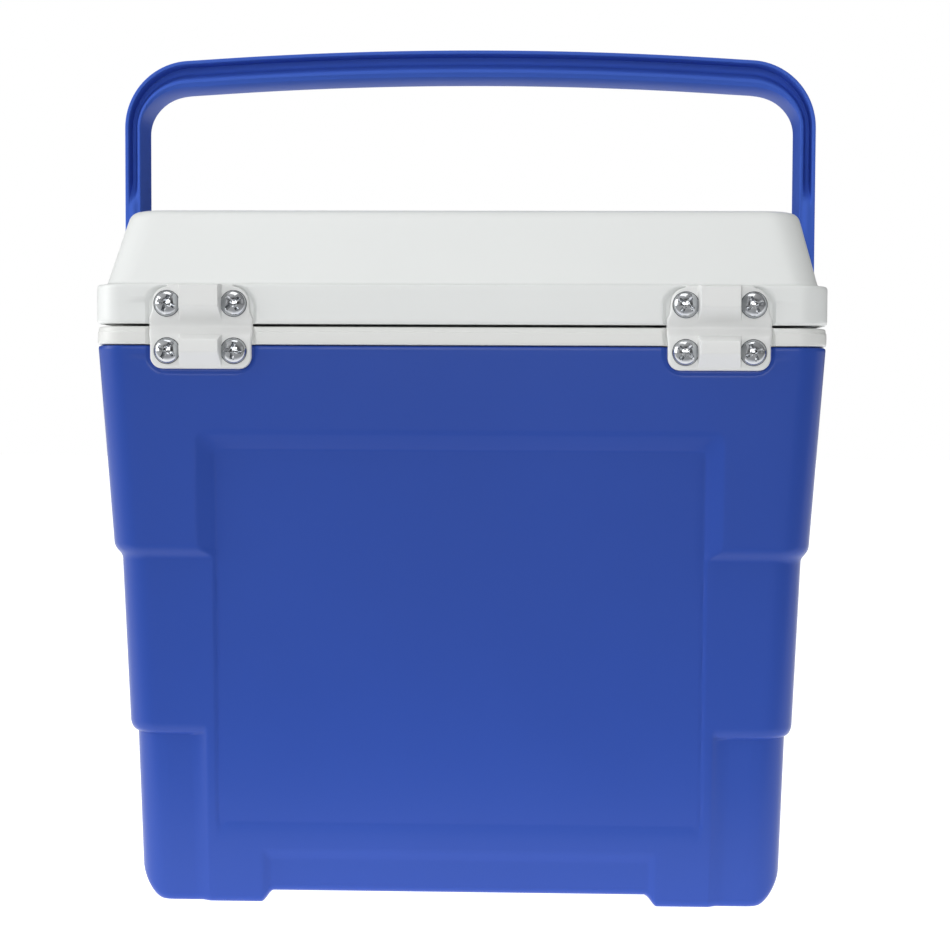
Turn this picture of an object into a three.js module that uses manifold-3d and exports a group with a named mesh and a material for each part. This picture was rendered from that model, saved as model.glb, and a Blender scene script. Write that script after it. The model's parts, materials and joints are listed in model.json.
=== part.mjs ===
// A hard-sided, foam-insulated cooler chest of about 16 litres: a blue moulded body, a white
// liner and lid, two screwed-on moulded hinges and a blue bail handle.
// Millimetres, +Z up, front -Y, rear (hinge side) +Y, origin under the middle of the feet.
import * as THREE from 'three';
import { mergeVertices } from 'three/addons/utils/BufferGeometryUtils.js';
import Module from 'manifold-3d';

const wasm = await Module();
wasm.setup();

// ---------------------------------------------------------------- driving dimensions
const GAP = 0.3;                  // clearance between neighbouring pieces
const HALF_LENGTH = 176.0;        // half the chest's length (X) at the rim
const LENGTH_TO_DEPTH = 45.2;     // half length minus half depth, the same at every height
const CORNER_R = 15;              // plan radius of the four upright corners
const CORNER_STEPS = 5;           // flats in each plan corner
const FAR = 30;                   // how far a cutter reaches past what it cuts

// Heights
const BODY_TOP = 274.2;
const RIM_BOTTOM = 274.5;
const RIM_TOP = 283.1;
const LID_BOTTOM = 284.3;
const SKIRT_TOP = 303.1;
const LID_TOP = 342;

// Corner columns of the body: [height, half length] or [height, half length, half depth]. Each step
// narrows the column, and the bottom edges are rounder on the short sides than on the long ones.
const COLUMNS = [
  [0, 143.2, 109.4], [1.2, 149.1, 111.6], [4, 153.5, 112.9], [8, 156.7, 113.1], [14, 158.4],
  [84, 160.6], [90.3, 163.5], [171.5, 166.5], [177, 169.7], [BODY_TOP, 175.8],
];
// Hollow inside the body shell
const SHELL_HOLLOW = [[8, 154.2], [170, 162.5], [223.7, 164.3], [242, 170.6], [BODY_TOP, 173.0]];

// Panels: one plane on each of the four faces, cut in above and standing proud below
const PANEL_TOP = 223.7;
const PANEL_TOP_PLANE = 122.1;    // half depth of the panel plane at PANEL_TOP
const PANEL_LEAN = 0.0289;        // how much it leans out for each millimetre up
const PANEL_HALF = 118;           // half width of the long panels' floor
const PANEL_BEVEL = 1.6;          // border's width for each millimetre of depth
const SLAB_HALF = 123;            // half width of the proud lower part
const SLAB_CHAMFER = 2.4;
const SECOND_STEP = 90.3;

// Feet: four corner pads left by two arches
const ARCH_HEIGHT = 5.5;
const ARCH_HALF_BOTTOM = 97;
const ARCH_HALF_TOP = 92;

// Liner tub: [height, half length] of its inner face
const CAVITY_FLOOR = 26;
const CAVITY_HALF_FLOOR = 146;
const CAVITY_HALF_TOP = 156;
const LINER_WALL = 2.4;
const RIM_PLATE = 3;
const RIM_LIP = 3.5;

// Lid
const LID_WALL = 3.4;
const LID_HALF = 176.2;
const PLUG_BOTTOM = 276;
const PLUG_HALF = 153;
const THUMB_LIP_HALF = 45;

// Hinges: a leaf on the lid, a leaf on the body, screwed on by two screws each
const HINGE_X = 123.4;
const LEAF_HALF = 24.6;
const LEAF_BACK = 129.3;
const LEAF_FACE = 131.6;
const LEAF_TOP = 302;
const LEAF_FOOT = 262;
const LEAF_CORNER_R = 8;
const FOLD_Z = 283.7;             // the fold line, at the leaf's outer face
const BLOCK_HALF = 9.3;
const BLOCK_FACE = 137.6;
const POCKET_FLOOR = 129.0;

// Screws: pan heads, 12.7 mm across
const SCREW_SPREAD = 16;          // each side of the hinge's middle
const SCREW_UPPER_Z = 293.9;
const SCREW_LOWER_Z = 271.4;
const SCREW_HEAD_R = 6.35;
const SCREW_SHANK_R = 2.05;
const SCREW_HOLE_R = 2.35;

// Bail handle
const PIVOT_Z = 222;
const ARM_OUTER = 185.6;
const ARM_THICKNESS = 8.3;
const BAR_THICKNESS = 12.1;
const BAR_CROWN = 3.6;            // how far the grip bulges below its edges
const BAR_TOP = 435.3;
const HANDLE_HALF_WIDTH = 15;
const BEND_R = 36;
const BEND_CENTRE_Z = 394;
const GROOVE_DEPTH = 6;
const HUB_R = 17;
const PIN_R = 6;
const PIN_HEAD_R = 10;
const PIN_HEAD_END = 188.1;
const PIN_TIP = 158.6;
const BOSS_R = 19;
const BOSS_FACE = 177.0;
const SOCKET_R = 12;

// ---------------------------------------------------------------- geometry helpers
function signedVolume(positions, index) {
  const corner = (i) => new THREE.Vector3().fromArray(positions, 3 * index[i]);
  let volume = 0;
  for (let i = 0; i < index.length; i += 3) {
    volume += corner(i).dot(corner(i + 1).cross(corner(i + 2)));
  }
  return volume;
}

// A closed BufferGeometry as a manifold solid with its faces pointing out
function solid(geometry) {
  const bare = geometry.clone();
  bare.deleteAttribute('normal');
  bare.deleteAttribute('uv');
  const merged = mergeVertices(bare, 1e-4);
  const vertProperties = Float32Array.from(merged.attributes.position.array);
  const kept = [];
  const all = merged.index.array;
  for (let i = 0; i < all.length; i += 3) {
    const [a, b, c] = [all[i], all[i + 1], all[i + 2]];
    if (a !== b && b !== c && c !== a) kept.push(a, b, c);
  }
  if (signedVolume(vertProperties, kept) < 0) kept.reverse();
  const triVerts = Uint32Array.from(kept);
  return new wasm.Manifold(new wasm.Mesh({ numProp: 3, vertProperties, triVerts }));
}

function toGeometry(manifold) {
  const mesh = manifold.getMesh();
  const geometry = new THREE.BufferGeometry();
  geometry.setAttribute('position', new THREE.BufferAttribute(Float32Array.from(mesh.vertProperties), 3));
  geometry.setIndex(new THREE.BufferAttribute(Uint32Array.from(mesh.triVerts), 1));
  geometry.computeVertexNormals();
  return geometry;
}

// Skin over a stack of rings with the same number of points, capped at both ends
function loft(rings) {
  const count = rings[0].length;
  const positions = rings.flat().flatMap((p) => p.toArray());
  const index = [];
  for (let level = 0; level + 1 < rings.length; level += 1) {
    for (let i = 0; i < count; i += 1) {
      const a = level * count + i;
      const b = level * count + ((i + 1) % count);
      index.push(a, b, b + count, a, b + count, a + count);
    }
  }
  const caps = capTriangles(rings[0]);
  const last = (rings.length - 1) * count;
  for (const [a, b, c] of caps) {
    index.push(a, c, b);
    index.push(last + a, last + b, last + c);
  }
  const geometry = new THREE.BufferGeometry();
  geometry.setAttribute('position', new THREE.Float32BufferAttribute(positions, 3));
  geometry.setIndex(index);
  return solid(geometry);
}

// Triangles over one flat ring, found in the plane where the ring is widest
function capTriangles(ring) {
  const size = new THREE.Box3().setFromPoints(ring).getSize(new THREE.Vector3());
  const flat = (p) => {
    if (size.z <= size.x && size.z <= size.y) return new THREE.Vector2(p.x, p.y);
    if (size.x <= size.y) return new THREE.Vector2(p.y, p.z);
    return new THREE.Vector2(p.x, p.z);
  };
  const outline = ring.map(flat);
  const triangles = THREE.ShapeUtils.triangulateShape(outline, []);
  if (THREE.ShapeUtils.area(outline) < 0) triangles.forEach((triangle) => triangle.reverse());
  return triangles;
}

function roundedRing(z, halfX, halfY, radius = CORNER_R) {
  const ring = [];
  const middles = [[1, 1], [-1, 1], [-1, -1], [1, -1]];
  middles.forEach(([sx, sy], corner) => {
    for (let i = 0; i <= CORNER_STEPS; i += 1) {
      const angle = (corner + i / CORNER_STEPS) * Math.PI / 2;
      const x = sx * (halfX - radius) + radius * Math.cos(angle);
      const y = sy * (halfY - radius) + radius * Math.sin(angle);
      ring.push(new THREE.Vector3(x, y, z));
    }
  });
  return ring;
}

// A tapered box with round corners: levels are [height, half length] or [height, half length, half depth]
function taperedBox(levels, radius = CORNER_R) {
  const ring = ([z, halfX, halfY = halfX - LENGTH_TO_DEPTH]) => roundedRing(z, halfX, halfY, radius);
  return loft(levels.map(ring));
}

function box(x0, x1, y0, y1, z0, z1) {
  const geometry = new THREE.BoxGeometry(x1 - x0, y1 - y0, z1 - z0);
  return solid(geometry.translate((x0 + x1) / 2, (y0 + y1) / 2, (z0 + z1) / 2));
}

// A round bar along X or Y, from one end to the other, centred on the other two coordinates
function barAlong(axis, radius, from, to, across, z, sides = 20) {
  const geometry = new THREE.CylinderGeometry(radius, radius, to - from, sides);
  const middle = (from + to) / 2;
  if (axis === 'x') return solid(geometry.rotateZ(Math.PI / 2).translate(middle, across, z));
  return solid(geometry.translate(across, middle, z));
}

function joined(solids) {
  return solids.reduce((sum, next) => sum.add(next));
}

function without(base, cutters) {
  return cutters.reduce((rest, cutter) => rest.subtract(cutter), base);
}

// ---------------------------------------------------------------- materials
const plastic = (color, roughness) => new THREE.MeshStandardMaterial({ color, roughness, metalness: 0 });
const BLUE = () => plastic(0x3450ae, 0.42);
const WHITE = () => plastic(0xe9ebeb, 0.4);
const FOAM = () => plastic(0xe6d9a8, 0.9);
const ZINC = () => new THREE.MeshStandardMaterial({ color: 0xb9bcc0, roughness: 0.28, metalness: 1 });

const cooler = new THREE.Group();

function addPiece(name, manifold, material) {
  const mesh = new THREE.Mesh(toGeometry(manifold), material);
  mesh.name = name;
  cooler.add(mesh);
}

// ---------------------------------------------------------------- what passes through the walls
const SIDES = [['left', 1], ['right', -1]];

function screwPlaces() {
  const places = [];
  for (const [side, sign] of SIDES) {
    for (const [row, z] of [['upper', SCREW_UPPER_Z], ['lower', SCREW_LOWER_Z]]) {
      for (const [end, offset] of [['outer', SCREW_SPREAD], ['inner', -SCREW_SPREAD]]) {
        places.push({ name: `hinge_screw_${side}_${row}_${end}`, x: sign * (HINGE_X + offset), z, row });
      }
    }
  }
  return places;
}

function screwHoles(row) {
  const through = screwPlaces().filter((place) => place.row === row);
  return through.map(({ x, z }) => barAlong('y', SCREW_HOLE_R, LEAF_FACE - FAR, LEAF_FACE + FAR, x, z, 16));
}

function pivotBores(radius) {
  return SIDES.map(([, sign]) => {
    const [from, to] = sign > 0 ? [PIN_TIP - 4, PIN_HEAD_END + FAR] : [-PIN_HEAD_END - FAR, 4 - PIN_TIP];
    return barAlong('x', radius, from, to, 0, PIVOT_Z, 28);
  });
}

// The outline of both hinge leaves together, seen from behind
function leafOutline(centreX, grow = 0) {
  const half = LEAF_HALF + grow;
  const [low, high] = [LEAF_FOOT - grow, LEAF_TOP + grow];
  const shape = new THREE.Shape();
  shape.moveTo(centreX - half, low + LEAF_CORNER_R);
  shape.lineTo(centreX - half, high - LEAF_CORNER_R);
  shape.absarc(centreX - half + LEAF_CORNER_R, high - LEAF_CORNER_R, LEAF_CORNER_R, Math.PI, Math.PI / 2, true);
  shape.absarc(centreX + half - LEAF_CORNER_R, high - LEAF_CORNER_R, LEAF_CORNER_R, Math.PI / 2, 0, true);
  shape.absarc(centreX + half - LEAF_CORNER_R, low + LEAF_CORNER_R, LEAF_CORNER_R, 0, -Math.PI / 2, true);
  shape.absarc(centreX - half + LEAF_CORNER_R, low + LEAF_CORNER_R, LEAF_CORNER_R, -Math.PI / 2, -Math.PI, true);
  return shape;
}

// A plate of that outline between two depths
function leafPlate(centreX, back, face, grow = 0) {
  const options = { depth: face - back, bevelEnabled: false, curveSegments: 5 };
  const geometry = new THREE.ExtrudeGeometry(leafOutline(centreX, grow), options);
  return solid(geometry.rotateX(Math.PI / 2).translate(0, face, 0));
}

function hingePockets() {
  return SIDES.map(([, sign]) => leafPlate(sign * HINGE_X, POCKET_FLOOR, POCKET_FLOOR + FAR, GAP * 2));
}

// ---------------------------------------------------------------- body
const panelPlane = (z) => PANEL_TOP_PLANE + (z - PANEL_TOP) * PANEL_LEAN;

// Cuts one panel's upper part into a face; swapped true makes it for the short sides
function panelCutter(sign, swapped) {
  const half = swapped ? PANEL_HALF - LENGTH_TO_DEPTH : PANEL_HALF;
  const base = swapped ? LENGTH_TO_DEPTH : 0;
  const reach = 12;
  const grown = reach * PANEL_BEVEL;
  const point = (across, out, z) => (swapped
    ? new THREE.Vector3(sign * out, across, z)
    : new THREE.Vector3(across, sign * out, z));
  const ring = (halfWidth, top, push) => [
    point(-halfWidth, base + panelPlane(SECOND_STEP) + push, SECOND_STEP),
    point(halfWidth, base + panelPlane(SECOND_STEP) + push, SECOND_STEP),
    point(halfWidth, base + panelPlane(top) + push, top),
    point(-halfWidth, base + panelPlane(top) + push, top),
  ];
  return loft([ring(half, PANEL_TOP, 0), ring(half + grown, PANEL_TOP + grown, reach)]);
}

// The lower middle of the faces, proud of the corner columns
function proudSlab(swapped) {
  const half = swapped ? SLAB_HALF - LENGTH_TO_DEPTH : SLAB_HALF;
  const base = swapped ? LENGTH_TO_DEPTH : 0;
  const level = (z, inset) => {
    const out = base + panelPlane(z) - inset;
    const corners = [[half, out], [half + SLAB_CHAMFER, out - SLAB_CHAMFER]];
    const quarter = corners.map(([a, b]) => (swapped ? [b, a] : [a, b]));
    if (!swapped) quarter.reverse();
    const points = [];
    const flips = [[1, 1], [-1, 1], [-1, -1], [1, -1]];
    flips.forEach(([fx, fy], i) => {
      const ordered = i % 2 ? [...quarter].reverse() : quarter;
      ordered.forEach(([x, y]) => points.push(new THREE.Vector3(fx * x, fy * y, z)));
    });
    return points;
  };
  const [low, middle, high] = swapped ? [8, 3.6, 1.8] : [2.4, 0.8, 0.2];
  return loft([
    level(2, low), level(ARCH_HEIGHT, middle), level(9, high), level(14, 0), level(SECOND_STEP, 0),
  ]);
}

function arch(swapped) {
  const shift = swapped ? 35 : 0;
  const ring = (z, half) => {
    const [a, b] = [half - shift, HALF_LENGTH + FAR];
    const [x, y] = swapped ? [b, a] : [a, b];
    const signs = [[1, 1], [-1, 1], [-1, -1], [1, -1]];
    return signs.map(([sx, sy]) => new THREE.Vector3(sx * x, sy * y, z));
  };
  return loft([ring(-1, ARCH_HALF_BOTTOM + 1), ring(ARCH_HEIGHT, ARCH_HALF_TOP)]);
}

function pivotBosses() {
  return SIDES.map(([, sign]) => {
    const inner = SHELL_HOLLOW[1][1];
    const [from, to] = sign > 0 ? [inner, BOSS_FACE] : [-BOSS_FACE, -inner];
    return barAlong('x', BOSS_R, from, to, 0, PIVOT_Z, 32);
  });
}

function bodyShell() {
  const cutters = [1, -1].flatMap((sign) => [panelCutter(sign, false), panelCutter(sign, true)]);
  const outside = without(taperedBox(COLUMNS), cutters);
  const whole = joined([outside, proudSlab(false), proudSlab(true), ...pivotBosses()]);
  const top = SHELL_HOLLOW.at(-1);
  const hollow = taperedBox([...SHELL_HOLLOW, [BODY_TOP + FAR, top[1]]], CORNER_R - 2);
  return without(whole, [
    hollow, arch(false), arch(true), ...hingePockets(), ...screwHoles('lower'), ...pivotBores(PIN_R + GAP),
  ]);
}

// ---------------------------------------------------------------- liner and foam
function cavityHalf(z) {
  const share = (z - CAVITY_FLOOR) / (RIM_TOP - CAVITY_FLOOR);
  return CAVITY_HALF_FLOOR + share * (CAVITY_HALF_TOP - CAVITY_HALF_FLOOR);
}

function tub(grow, floor, top) {
  const radius = CORNER_R - 3 + grow;
  return taperedBox([[floor, cavityHalf(floor) + grow], [top, cavityHalf(top) + grow]], radius);
}

function innerLiner() {
  const channelTop = RIM_TOP - RIM_PLATE;
  const band = taperedBox([
    [RIM_BOTTOM, HALF_LENGTH - 0.6], [RIM_BOTTOM + 0.8, HALF_LENGTH], [RIM_TOP - 1.2, HALF_LENGTH],
    [RIM_TOP, HALF_LENGTH - 1.2],
  ]);
  const inside = HALF_LENGTH - RIM_LIP;
  const channel = taperedBox([[RIM_BOTTOM - 1, inside], [channelTop, inside]], CORNER_R - RIM_LIP);
  const walls = tub(LINER_WALL, CAVITY_FLOOR - LINER_WALL, RIM_TOP - 1);
  const cavity = tub(0, CAVITY_FLOOR, RIM_TOP + 1);
  return without(joined([without(band, [channel]), walls]), [cavity, ...hingePockets()]);
}

function insulationFoam() {
  const outer = SHELL_HOLLOW.slice(0, -1).map(([z, half]) => [z, half - GAP]);
  outer[0][0] += GAP;
  const neck = HALF_LENGTH - RIM_LIP - GAP;
  outer.push([BODY_TOP, neck], [RIM_TOP - RIM_PLATE - GAP, neck]);
  const tubSpace = tub(LINER_WALL + GAP, CAVITY_FLOOR - LINER_WALL - GAP, RIM_TOP + 1);
  return without(taperedBox(outer, CORNER_R - 2), [
    tubSpace, ...screwHoles('lower'), ...pivotBores(SOCKET_R + GAP),
  ]);
}

function handleSocket(sign) {
  const wall = SHELL_HOLLOW[2][1] - 2 * GAP;
  const [from, to] = sign > 0 ? [PIN_TIP, wall] : [-wall, -PIN_TIP];
  return without(barAlong('x', SOCKET_R, from, to, 0, PIVOT_Z, 28), pivotBores(PIN_R + GAP));
}

// ---------------------------------------------------------------- lid
function lidShell() {
  const depth = LID_HALF - LENGTH_TO_DEPTH;
  const outside = taperedBox([
    [LID_BOTTOM, LID_HALF - 1.4, depth - 1.4], [LID_BOTTOM + 1.6, LID_HALF, depth],
    [SKIRT_TOP - 1.6, LID_HALF, depth], [SKIRT_TOP, LID_HALF - 1.4, depth - 1.4],
    [SKIRT_TOP + 0.5, LID_HALF - 3.9, depth - 3.9], [LID_TOP - 4, 166.6, 101.6],
    [LID_TOP - 1.3, 165.2, 99.6], [LID_TOP, 162.2, 96.2],
  ]);
  const hollow = taperedBox([
    [LID_BOTTOM - 1, LID_HALF - LID_WALL, depth - LID_WALL],
    [SKIRT_TOP - 3, LID_HALF - LID_WALL, depth - LID_WALL],
    [SKIRT_TOP - 1.5, LID_HALF - 7, depth - 7], [LID_TOP - 4.5, 163.4, 97.8], [LID_TOP - 2.6, 160.4, 94.8],
  ], CORNER_R - 3);
  const lip = thumbLip(depth);
  return without(joined([outside.subtract(hollow), lip]), [...hingePockets(), ...screwHoles('upper')]);
}

// A finger lip in the middle of the lid's front edge, as deep as the hinges stand out behind
function thumbLip(skirtDepth) {
  const ring = (z, half, out) => {
    const back = -(skirtDepth - 2);
    return [[-half, back], [half, back], [half - 4, -out], [4 - half, -out]]
      .map(([x, y]) => new THREE.Vector3(x, y, z));
  };
  return loft([ring(286, THUMB_LIP_HALF, BLOCK_FACE), ring(289.5, THUMB_LIP_HALF, BLOCK_FACE),
    ring(296, THUMB_LIP_HALF, skirtDepth + 0.4)]);
}

function lidInnerPanel() {
  const half = LID_HALF - LID_WALL - 0.4;
  const plate = taperedBox([[LID_BOTTOM + GAP, half], [LID_BOTTOM + 2.7, half]], CORNER_R - 3.2);
  const plug = taperedBox([
    [PLUG_BOTTOM, PLUG_HALF - 2], [PLUG_BOTTOM + 2, PLUG_HALF], [LID_BOTTOM + 1, PLUG_HALF + 0.5],
  ], CORNER_R - 4);
  const dish = taperedBox([[PLUG_BOTTOM + 2.4, PLUG_HALF - 2.4], [LID_BOTTOM + FAR, PLUG_HALF - 2.4]], CORNER_R - 6);
  return without(joined([plate, plug]), [dish]);
}

function lidInsulation() {
  const depth = LID_HALF - LENGTH_TO_DEPTH;
  const inset = LID_WALL + 0.4;
  const upper = taperedBox([
    [LID_BOTTOM + 3, LID_HALF - inset, depth - inset], [SKIRT_TOP - 3.3, LID_HALF - inset, depth - inset],
    [SKIRT_TOP - 1.9, LID_HALF - 7.5, depth - 7.5], [LID_TOP - 4.9, 163.0, 97.4], [LID_TOP - 3, 160.0, 94.4],
  ], CORNER_R - 3);
  const low = PLUG_HALF - 2.8;
  const lower = taperedBox([[PLUG_BOTTOM + 2.8, low], [LID_BOTTOM + 5, low]], CORNER_R - 6);
  return without(joined([upper, lower]), screwHoles('upper'));
}

// ---------------------------------------------------------------- hinges
// An outline in depth and height, extruded across one hinge block's width
function hingeBlock(centreX, outline) {
  const shape = new THREE.Shape(outline.map(([y, z]) => new THREE.Vector2(y, z)));
  const geometry = new THREE.ExtrudeGeometry(shape, { depth: 2 * BLOCK_HALF, bevelEnabled: false });
  const upright = new THREE.Matrix4().makeBasis(
    new THREE.Vector3(0, 1, 0), new THREE.Vector3(0, 0, 1), new THREE.Vector3(1, 0, 0));
  return solid(geometry.applyMatrix4(upright).translate(centreX - BLOCK_HALF, 0, 0));
}

function lidLeaf(centreX) {
  const below = box(centreX - FAR, centreX + FAR, 100, 160, LEAF_FOOT - FAR, FOLD_Z + GAP);
  const plate = leafPlate(centreX, LEAF_BACK, LEAF_FACE).subtract(below);
  const block = hingeBlock(centreX, [
    [LEAF_FACE - 0.3, SKIRT_TOP + 0.4], [BLOCK_FACE - 0.8, SKIRT_TOP + 0.4], [BLOCK_FACE, SKIRT_TOP - 0.4],
    [BLOCK_FACE, 292.6], [LEAF_FACE, 286.8], [LEAF_FACE - 0.3, 286.8],
  ]);
  return without(plate.add(block), screwHoles('upper'));
}

function bodyLeaf(centreX) {
  const above = box(centreX - FAR, centreX + FAR, 100, 160, FOLD_Z - GAP, LEAF_TOP + FAR);
  const plate = leafPlate(centreX, LEAF_BACK, LEAF_FACE).subtract(above);
  const block = hingeBlock(centreX, [
    [LEAF_FACE - 0.3, 278.3], [BLOCK_FACE, 278.3], [BLOCK_FACE, 271], [LEAF_FACE, 264.3], [LEAF_FACE - 0.3, 264.3],
  ]);
  return without(plate.add(block), screwHoles('lower'));
}

// A pan-head tapping screw lying along Y, its head standing on the leaf's face
function hingeScrew(x, z) {
  const profile = [
    [0, -16], [1, -14.5], [SCREW_SHANK_R, -12.5], [SCREW_SHANK_R, 0], [SCREW_HEAD_R, 0], [SCREW_HEAD_R, 1],
    [5.6, 2.5], [3.8, 3.5], [0, 3.9],
  ];
  const lathe = new THREE.LatheGeometry(profile.map(([r, h]) => new THREE.Vector2(r, h)), 18);
  const slots = [[3.4, 0.8], [0.8, 3.4]].map(([a, b]) => box(-a, a, 1.9, 6, -b, b));
  return without(solid(lathe), slots).translate([x, LEAF_FACE + 0.1, z]);
}

// ---------------------------------------------------------------- handle
// Places along the bail's outer line, from the right-hand pivot (+X) over the top to the other:
// where the outer face is, which way is inward, and how far from plain arm (0) to full grip (1)
function bailStations() {
  const bendX = ARM_OUTER - BEND_R;
  const archRise = BAR_TOP - BEND_CENTRE_Z - BEND_R;
  const tilt = 2 * archRise / bendX;
  const half = [];
  for (const z of [PIVOT_Z, 336, 350, 372]) {
    half.push({ x: ARM_OUTER, z, angle: 0, grip: 0, groove: z > 340 ? 1 : 0 });
  }
  const bendSteps = 9;
  for (let i = 0; i <= bendSteps; i += 1) {
    const angle = (i / bendSteps) * (Math.PI / 2 - tilt);
    const x = bendX + BEND_R * Math.cos(angle);
    const z = BEND_CENTRE_Z + BEND_R * Math.sin(angle);
    half.push({ x, z, angle, grip: i / bendSteps, groove: 1 });
  }
  const barSteps = 6;
  for (let i = 1; i < barSteps; i += 1) {
    const x = bendX * (1 - i / barSteps);
    const z = BAR_TOP - archRise * (x / bendX) ** 2;
    half.push({ x, z, angle: Math.PI / 2 - tilt * (x / bendX), grip: 1, groove: 1 });
  }
  const middle = { x: 0, z: BAR_TOP, angle: Math.PI / 2, grip: 1, groove: 1 };
  const mirrored = half.map((s) => ({ ...s, x: -s.x, angle: Math.PI - s.angle })).reverse();
  return [...half, middle, ...mirrored];
}

// The section at one place: a band with a groove along each side and a crowned inner face
function bailSection({ x, z, angle, grip, groove }) {
  const thick = ARM_THICKNESS + grip * (BAR_THICKNESS - ARM_THICKNESS);
  const crown = grip * BAR_CROWN;
  const w = HANDLE_HALF_WIDTH;
  const cut = w - groove * GROOVE_DEPTH;
  const rib = grip * 0.6;
  const side = [
    [0, w - 0.8], [0.8, w], [2.3, w], [2.6, cut], [6.2 + rib, cut], [6.5 + rib, w], [thick - 1, w],
    [thick, w - 1], [thick + crown, w * 0.45],
  ];
  const outline = [...side, ...side.map(([n, t]) => [n, -t]).reverse()];
  return outline.map(([n, t]) => new THREE.Vector3(x - n * Math.cos(angle), t, z - n * Math.sin(angle)));
}

function bailHandle() {
  const bail = loft(bailStations().map(bailSection));
  const hubs = SIDES.map(([, sign]) => {
    const inner = ARM_OUTER - ARM_THICKNESS;
    const [from, to] = sign > 0 ? [inner, ARM_OUTER] : [-ARM_OUTER, -inner];
    return barAlong('x', HUB_R, from, to, 0, PIVOT_Z, 32);
  });
  return without(joined([bail, ...hubs]), pivotBores(PIN_R + GAP));
}

function handlePin(sign) {
  const head = ARM_OUTER + GAP;
  const spans = sign > 0 ? [[PIN_TIP, head + 1], [head, PIN_HEAD_END]] : [[-head - 1, -PIN_TIP], [-PIN_HEAD_END, -head]];
  const shaft = barAlong('x', PIN_R, ...spans[0], 0, PIVOT_Z, 28);
  return shaft.add(barAlong('x', PIN_HEAD_R, ...spans[1], 0, PIVOT_Z, 28));
}

// ---------------------------------------------------------------- assembly
addPiece('body_shell', bodyShell(), BLUE());
addPiece('insulation_foam', insulationFoam(), FOAM());
addPiece('inner_liner', innerLiner(), WHITE());
addPiece('lid_shell', lidShell(), WHITE());
addPiece('lid_insulation', lidInsulation(), FOAM());
addPiece('lid_inner_panel', lidInnerPanel(), WHITE());
for (const [side, sign] of SIDES) {
  addPiece(`hinge_lid_leaf_${side}`, lidLeaf(sign * HINGE_X), WHITE());
  addPiece(`hinge_body_leaf_${side}`, bodyLeaf(sign * HINGE_X), WHITE());
  addPiece(`handle_socket_${side}`, handleSocket(sign), WHITE());
  addPiece(`handle_pin_${side}`, handlePin(sign), BLUE());
}
for (const { name, x, z } of screwPlaces()) addPiece(name, hingeScrew(x, z), ZINC());
addPiece('handle', bailHandle(), BLUE());

export default cooler;
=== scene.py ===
"""Looks of the cooler chest: fine moulded shells, hinges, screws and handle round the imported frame.

Lengths in this script are millimetres until a mesh is made; Blender's are metres.
The rear of the chest, with the hinges, faces +Y, and the camera looks at it from there.
"""
import json
import math

import bpy
import numpy as np
from mathutils import Matrix, Vector


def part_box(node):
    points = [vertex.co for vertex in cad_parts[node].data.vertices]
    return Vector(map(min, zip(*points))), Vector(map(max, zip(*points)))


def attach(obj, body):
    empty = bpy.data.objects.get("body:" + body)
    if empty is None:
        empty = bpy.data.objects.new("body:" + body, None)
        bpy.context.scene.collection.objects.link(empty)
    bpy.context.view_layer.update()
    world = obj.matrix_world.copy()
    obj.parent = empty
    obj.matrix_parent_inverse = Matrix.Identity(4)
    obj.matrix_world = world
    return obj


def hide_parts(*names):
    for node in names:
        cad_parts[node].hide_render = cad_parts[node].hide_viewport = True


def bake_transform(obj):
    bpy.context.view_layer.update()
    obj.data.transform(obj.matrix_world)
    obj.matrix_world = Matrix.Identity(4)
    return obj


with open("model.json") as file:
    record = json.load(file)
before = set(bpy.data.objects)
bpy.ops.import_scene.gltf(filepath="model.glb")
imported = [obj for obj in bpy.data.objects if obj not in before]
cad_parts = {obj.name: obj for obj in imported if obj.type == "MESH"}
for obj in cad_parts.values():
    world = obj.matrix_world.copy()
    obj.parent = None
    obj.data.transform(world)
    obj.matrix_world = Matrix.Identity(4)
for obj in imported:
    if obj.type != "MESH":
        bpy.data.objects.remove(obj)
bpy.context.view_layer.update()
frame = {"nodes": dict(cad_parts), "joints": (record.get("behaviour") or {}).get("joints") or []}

MM = 0.001


def box_mm(node):
    """A CAD node's lowest and highest corner, in millimetres."""
    low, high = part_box(node)
    return np.array(low) / MM, np.array(high) / MM


# ---------------------------------------------------------------- driving dimensions
SHELL_HIGH = box_mm("body_shell")[1]
LINER_HIGH = box_mm("inner_liner")[1]
LID_LOW, LID_HIGH = box_mm("lid_shell")
PANEL_LOW, PANEL_HIGH = box_mm("lid_inner_panel")
STRAP_LOW, STRAP_HIGH = box_mm("hinge_body_leaf_left")
BAIL_HIGH = box_mm("handle")[1]
PIN_LOW, PIN_HIGH = box_mm("handle_pin_left")

LENGTH_TO_DEPTH = 45.2            # half length minus half depth at every height
CORNER_R = 15.0
BODY_TOP = SHELL_HIGH[2]
RIM_TOP = LINER_HIGH[2]
RIM_BOTTOM = BODY_TOP + 0.3
LID_BOTTOM = LID_LOW[2]
LID_TOP = LID_HIGH[2]
LID_HALF = LID_HIGH[0]
SKIRT_TOP = 303.1
POCKET_FLOOR = 129.0              # depth plane that the hinge straps lie on
HINGE_X = (STRAP_LOW[0] + STRAP_HIGH[0]) / 2
JOINTS = {joint["name"]: joint for joint in frame["joints"]}
FOLD = np.array(JOINTS["lid_hinge"]["pos_m"]) / MM
PIVOT = np.array(JOINTS["handle_swing"]["pos_m"]) / MM


# ---------------------------------------------------------------- numbers to meshes
def smooth_min(a, b, blend):
    """The lower of two heights, with a fillet where they cross."""
    overlap = np.maximum(blend - np.abs(a - b), 0) / blend
    return np.minimum(a, b) - overlap**2 * blend / 4


def smooth_max(a, b, blend):
    return -smooth_min(-a, -b, blend)


def ease(t):
    t = np.clip(t, 0, 1)
    return t * t * (3 - 2 * t)


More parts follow.
